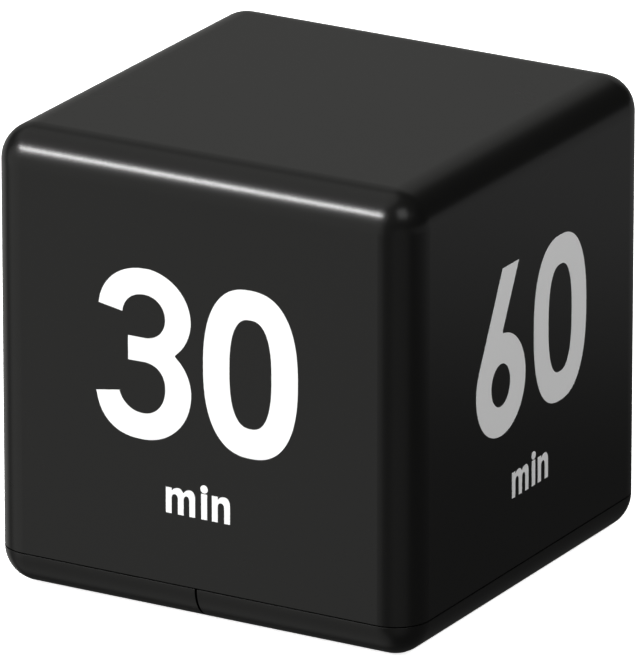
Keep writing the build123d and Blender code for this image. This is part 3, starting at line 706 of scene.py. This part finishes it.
def print_on(name, glyphs, outward, across, up=(0, 0, 1), body="case", slot="case_plastic"):
    """Fills the outlines as one flat curve, gives it the ink's thickness, and lays it on a face."""
    data = bpy.data.curves.new(name, "CURVE")
    data.dimensions = "2D"
    data.fill_mode = "BOTH"
    for outlines, x, y in glyphs:
        for outline in outlines:
            points = (outline + [x, y]) * MM
            spline = data.splines.new("POLY")
            spline.points.add(len(points) - 1)
            flat_co = np.column_stack([points, np.zeros(len(points)), np.ones(len(points))])
            spline.points.foreach_set("co", flat_co.ravel())
            spline.use_cyclic_u = True
    data.extrude = (INK + SUNK) / 2 * MM
    flat = link(bpy.data.objects.new(name + "_outline", data))
    bpy.context.view_layer.update()
    mesh = bpy.data.meshes.new_from_object(flat.evaluated_get(bpy.context.evaluated_depsgraph_get()))
    bpy.data.objects.remove(flat)
    mesh.name = name
    co = np.empty(len(mesh.vertices) * 3)
    mesh.vertices.foreach_get("co", co)
    co = co.reshape(-1, 3)
    frame_of_face = np.array([across, up, outward], float)
    lift = (HALF + (INK - SUNK) / 2) * MM
    placed = (co + [0, 0, lift]) @ frame_of_face + [0, 0, HALF * MM]
    mesh.vertices.foreach_set("co", placed.ravel())
    mesh.update()
    mesh.materials.clear()
    mesh.materials.append(ink)
    piece = link(bpy.data.objects.new(name, mesh))
    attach(piece, body)
    print(name, len(mesh.polygons), "faces")
    return piece


# %% Numbers on the side faces
DIGITS_Y = 4.45  # digits' middle above the face's middle
WORD_Y = -16.95  # the word's foot
word = [(letter_m(), -4.88, WORD_Y), (letter_i(), 0.50, WORD_Y), (letter_n(), 2.13, WORD_Y)]
faces = {
    "print_30": ([(three(), -8.13, DIGITS_Y), (zero(), 8.02, DIGITS_Y)], (0, -1, 0), (1, 0, 0)),
    "print_60": ([(six(), -8.05, DIGITS_Y), (zero(), 7.95, DIGITS_Y)], (1, 0, 0), (0, 1, 0)),
    "print_5": ([(five(), 0.2, DIGITS_Y)], (0, 1, 0), (-1, 0, 0)),
    "print_15": ([(one(), -5.6, DIGITS_Y), (five(), 6.6, DIGITS_Y)], (-1, 0, 0), (0, -1, 0)),
}
ink = finish("white_ink", (0.82, 0.82, 0.82), 0.45, values={"Scale": 3000.0, "Spread": 0.03}, bump=0.05)
for name, (glyphs, outward, across) in faces.items():
    print_on(name, glyphs + word, outward, across)

# %% [markdown]
# ## Marks under the timer
# The switches are marked in the usual way: a ring and a bar for off and on, and a short and a
# long bar for soft and loud. An arrow on the battery door shows which way it slides. They are
# printed with the same ink, seen from below, so across runs towards -X when up is +Y.

# %% Marks
def ring(radius, line):
    """A ring, from its outer radius and the width of its line."""
    inner = radius - line
    return [
        curve((0, 0), (radius, radius), 0, 360, 2.0, 49)[:-1],
        curve((0, 0), (inner, inner), 360, 0, 2.0, 49)[:-1],
    ]


def bar(width, height):
    """A rectangle about its own middle."""
    w, h = width / 2, height / 2
    return [joined((-w, -h), (w, -h), (w, h), (-w, h))]


def arrow(length, head, line=0.6):
    """An arrow towards the left: a triangle of length head, and a shaft."""
    tip, neck, end = -length / 2, -length / 2 + head, length / 2
    h, w = head * 0.7, line / 2
    return [joined((tip, 0), (neck, h), (neck, w), (end, w), (end, -w), (neck, -w), (neck, -h))]


def middle_of(part):
    """The middle of a CAD part's box in plan, in millimetres."""
    low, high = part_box(part)
    return (low[0] + high[0]) / 2 / MM, (low[1] + high[1]) / 2 / MM


power, volume = middle_of("power_switch_can"), middle_of("volume_switch_can")
MARK_REACH = 7.6  # from the middle of a switch to the marks at the ends of its travel
MARK_LINE = 0.36
under = dict(outward=(0, 0, -1), across=(-1, 0, 0), up=(0, 1, 0))
print_on("print_switches", [
    (ring(0.85, 0.32), -power[0], power[1] - MARK_REACH),
    (bar(MARK_LINE, 1.7), -power[0], power[1] + MARK_REACH),
    (bar(1.0, MARK_LINE), -volume[0], volume[1] - MARK_REACH),
    (bar(2.6, MARK_LINE), -volume[0], volume[1] + MARK_REACH),
], slot="cover_plastic", **under)
print_on("print_arrow", [(arrow(7.0, 2.0), -11.5, 0.0)], body="battery_door", slot="door_plastic", **under)

# %% [markdown]
# ## Contact springs
# A cell's spring is a cone of nickel wire: about five turns, wide where it stands on its plate
# and narrow where it meets the cell, its last turn at each end laid nearly flat. In CAD it is a
# plain hollow cone. Here the wire is a circle carried along a helix, which is the usual way for
# any wire, and the helix's pitch eases to almost nothing at both ends.

# %% Tube along a path
def tube(path, radius, sides=12):
    """A closed tube: at each point a circle in the plane across the path.

    The circle is point + radius * (cos(a) * n + sin(a) * b), where n is square to the path and
    to the Y axis, and b is square to n and the path. A point at each end closes the tube.
    """
    along = np.gradient(path, axis=0)
    along /= np.linalg.norm(along, axis=1, keepdims=True)
    n = np.cross(along, [0.0, 1.0, 0.0])
    n /= np.linalg.norm(n, axis=1, keepdims=True)
    b = np.cross(along, n)
    a = np.linspace(0, 2 * np.pi, sides, endpoint=False)[None, :, None]
    rings = path[:, None] + radius * (np.cos(a) * n[:, None] + np.sin(a) * b[:, None])
    return closed_grid(rings, path[0], path[-1])


def closed_grid(rings, first, last):
    """Vertices and faces of rings of points joined in order, closed by a point at each end."""
    count, sides = rings.shape[:2]
    verts = np.vstack([rings.reshape(-1, 3), first, last])
    i, j = np.meshgrid(np.arange(count - 1), np.arange(sides), indexing="ij")
    k = (j + 1) % sides
    near, far = i * sides, (i + 1) * sides
    quads = np.stack([near + j, near + k, far + k, far + j], -1).reshape(-1, 4)
    j = np.arange(sides)
    k = (j + 1) % sides
    foot = np.stack([0 * j + count * sides, k, j], -1)
    top = (count - 1) * sides
    tip = np.stack([0 * j + count * sides + 1, top + j, top + k], -1)
    return verts, quads.tolist() + foot.tolist() + tip.tolist()


def new_piece(name, shapes, material, body):
    """One mesh object from several (vertices, faces), in millimetres, with smooth shading."""
    verts, faces, count = [], [], 0
    for v, f in shapes:
        verts.append(v)
        faces += [tuple(index + count for index in face) for face in f]
        count += len(v)
    mesh = bpy.data.meshes.new(name)
    mesh.from_pydata((np.vstack(verts) * MM).tolist(), [], faces)
    mesh.validate()
    mesh.shade_smooth()
    mesh.materials.append(material)
    piece = link(bpy.data.objects.new(name, mesh))
    outward_first(mesh)
    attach(piece, body)
    print(name, len(mesh.polygons), "faces")
    return piece


def outward_first(mesh):
    """Turns every shell of the mesh so that its faces point outwards."""
    shell = bmesh.new()
    shell.from_mesh(mesh)
    bmesh.ops.recalc_face_normals(shell, faces=shell.faces)
    shell.to_mesh(mesh)
    shell.free()


# %% Springs
WIRE = 0.7  # spring wire, millimetres
TIP_D = 4.4  # outer diameter where the spring meets the cell
TURNS = 5.5
EASE = 0.9  # turns over which the pitch grows at each end
LEAST_PITCH = 0.06  # as a share of the full pitch


def cone_spring(part, plate_side):
    """The helix (x, y, z) = centre + (r cos t, s(t) * length, r sin t), from plate to cell.

    r shrinks evenly from the base to the tip. s eases from 0 to 1: it is the integral of a pitch
    that is small in the first and last turn, found as a running sum.
    """
    low, high = np.array(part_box(part)) / MM
    centre = (low + high) / 2
    t = np.linspace(0, TURNS, 420)
    pitch = LEAST_PITCH + np.clip(t / EASE, 0, 1) * np.clip((TURNS - t) / EASE, 0, 1)
    s = np.concatenate([[0.0], np.cumsum((pitch[1:] + pitch[:-1]) / 2)])
    s /= s[-1]
    wide, narrow = (high[0] - low[0]) / 2 - WIRE / 2, TIP_D / 2 - WIRE / 2
    r = wide + (narrow - wide) * s
    start, stop = (low[1], high[1]) if plate_side < 0 else (high[1], low[1])
    room = WIRE / 2 * np.sign(stop - start)
    y = start + room + (stop - start - 2 * room) * s
    angle = 2 * np.pi * t
    path = np.column_stack([centre[0] + r * np.cos(angle), y, centre[2] + r * np.sin(angle)])
    return tube(path, WIRE / 2)


for part, side in (("negative_spring", -1), ("bridge_spring", 1)):
    coil = new_piece(
        part + "_coil", [cone_spring(part, side)], made["spring_nickel"], "case",
    )
    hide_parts(part)

# %% [markdown]
# ## Solder
# Every pin through the board ends in a small volcano of tin: wide and thin at the pad, rising
# in a hollow curve to the pin. It is a profile turned about the pin.

# %% Solder joints
def volcano(x, y, z, way, foot=0.95, height=0.85, pin=0.3, sides=24):
    """A profile r = pin + (foot - pin) * (1 - h)^2.4 at height h of 0 to 1, turned about the pin."""
    h = np.linspace(0, 1, 10)
    r = pin + (foot - pin) * (1 - h) ** 2.4
    a = np.linspace(0, 2 * np.pi, sides, endpoint=False)
    rings = np.stack([
        x + r[:, None] * np.cos(a), y + r[:, None] * np.sin(a),
        z + way * height * h[:, None] + 0 * a,
    ], -1)
    return closed_grid(rings, [x, y, z], [x, y, z + way * height * 1.05])


board_low, board_high = np.array(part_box("circuit_board")) / MM
PIN_PITCH = 2.5  # of a switch's pins
LEG_INSET = 0.25  # from the ends of the light's legs to the middle of each
LEAD_REACH, LEAD_GAUGE = 5.7, 2.4  # of a tilt switch's leads, from its middle and from each other
WIRE_R = 0.55  # of the battery wires
WIRE_JOINT = (1.3, 0.9, 0.58)  # a wire's solder is wider: its foot, height and pin
joints = []
for switch in (power, volume):
    joints += [volcano(switch[0], switch[1] + step * PIN_PITCH, board_high[2], 1) for step in (-1, 0, 1)]
led_low, led_high = np.array(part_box("led_legs")) / MM
for x in (led_low[0] + LEG_INSET, led_high[0] - LEG_INSET):
    joints.append(volcano(x, (led_low[1] + led_high[1]) / 2, board_high[2], 1))
for part, turn in (("tilt_can_a", 45.0), ("tilt_can_b", -45.0)):
    middle_x, middle_y = middle_of(part)
    cosine, sine = np.cos(np.radians(turn)), np.sin(np.radians(turn))
    for side in (-1, 1):
        across = side * LEAD_GAUGE / 2
        x = middle_x - LEAD_REACH * cosine - across * sine
        y = middle_y - LEAD_REACH * sine + across * cosine
        joints.append(volcano(x, y, board_low[2], -1))
for part in ("positive_wire", "negative_wire"):
    low, high = np.array(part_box(part)) / MM
    joints.append(volcano(low[0] + WIRE_R, high[1] - WIRE_R, board_high[2], 1, *WIRE_JOINT))
new_piece("solder_joints", joints, made["pin_tin"], "case")

# %% [markdown]
# ## Signs on the cells, and the ends of the chip resistors
# A raised or printed bar, bent or straight, is a rounded block: a superellipsoid, which a single
# formula gives with its corners already soft. A plus is two such bars, bent round the cell, and a
# minus is one.

# %% Rounded blocks
def block(centre, size, power=0.22, around=32, along=16):
    """x = a |cos v|^p |cos u|^p, y = b |cos v|^p |sin u|^p, z = c |sin v|^p, with their signs."""
    u = np.linspace(0, 2 * np.pi, around, endpoint=False)
    v = np.linspace(-np.pi / 2, np.pi / 2, along + 1)[1:-1, None]

    def soft(value):
        return np.sign(value) * np.abs(value) ** power

    width = soft(np.cos(v))
    unit = np.stack([width * soft(np.cos(u)), width * soft(np.sin(u)), soft(np.sin(v)) + 0 * u], -1)
    half_size = np.array(size) / 2
    c = np.array(centre, float)
    return closed_grid(c + unit * half_size, c - [0, 0, half_size[2]], c + [0, 0, half_size[2]])


def bent(shape, axis_x, axis_z, radius, turn):
    """Wraps a flat shape round a cylinder along Y: x becomes an arc, z the height above it."""
    verts, faces = shape
    angle = verts[:, 0] / radius + np.radians(turn)
    r = radius + verts[:, 2]
    return np.column_stack([axis_x + r * np.sin(angle), verts[:, 1], axis_z - r * np.cos(angle)]), faces


# %% Signs
ROUND_THE_CELL = (3.0, 0.7, 0.05)  # a bar of a sign: round the cell, along it, and its thickness
ALONG_THE_CELL = (0.7, 3.0, 0.052)  # a little thicker, so that the two bars of a plus don't coincide
PLUS_AT, MINUS_AT = 14.5, 16.5  # from the cell's middle
signs = []
for part, plus_way in (("cell_1_jacket", -1), ("cell_2_jacket", 1)):
    low, high = np.array(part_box(part)) / MM
    axis_x, axis_z = (low[0] + high[0]) / 2, (low[2] + high[2]) / 2
    radius = (high[2] - low[2]) / 2
    plus, minus = (0, plus_way * PLUS_AT, 0), (0, -plus_way * MINUS_AT, 0)
    bars = ((plus, ROUND_THE_CELL), (plus, ALONG_THE_CELL), (minus, ROUND_THE_CELL))
    for turn in (-50, 50):
        signs += [bent(block(place, size), axis_x, axis_z, radius, turn) for place, size in bars]
new_piece("cell_signs", signs, ink, "case")

# %% Resistor ends
# The six resistors are one CAD part, so their places on the board are given again here.
RESISTORS = [(-25.0, -1.0), (-25.0, 1.5), (-22.0, -4.0), (-5.0, -12.0), (-5.0, -15.0), (-18.0, 19.0)]
END_SIZE = (0.34, 0.86, 0.56)  # of the tinned end of a resistor
END_X, END_Z = 0.66, 0.27  # its middle, from the resistor's middle and from the board
caps = [
    block((x + side * END_X, y, board_high[2] + END_Z), END_SIZE)
    for x, y in RESISTORS for side in (-1, 1)
]
new_piece("resistor_ends", caps, made["pin_tin"], "case")

# %% Finish
import json

low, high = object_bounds()
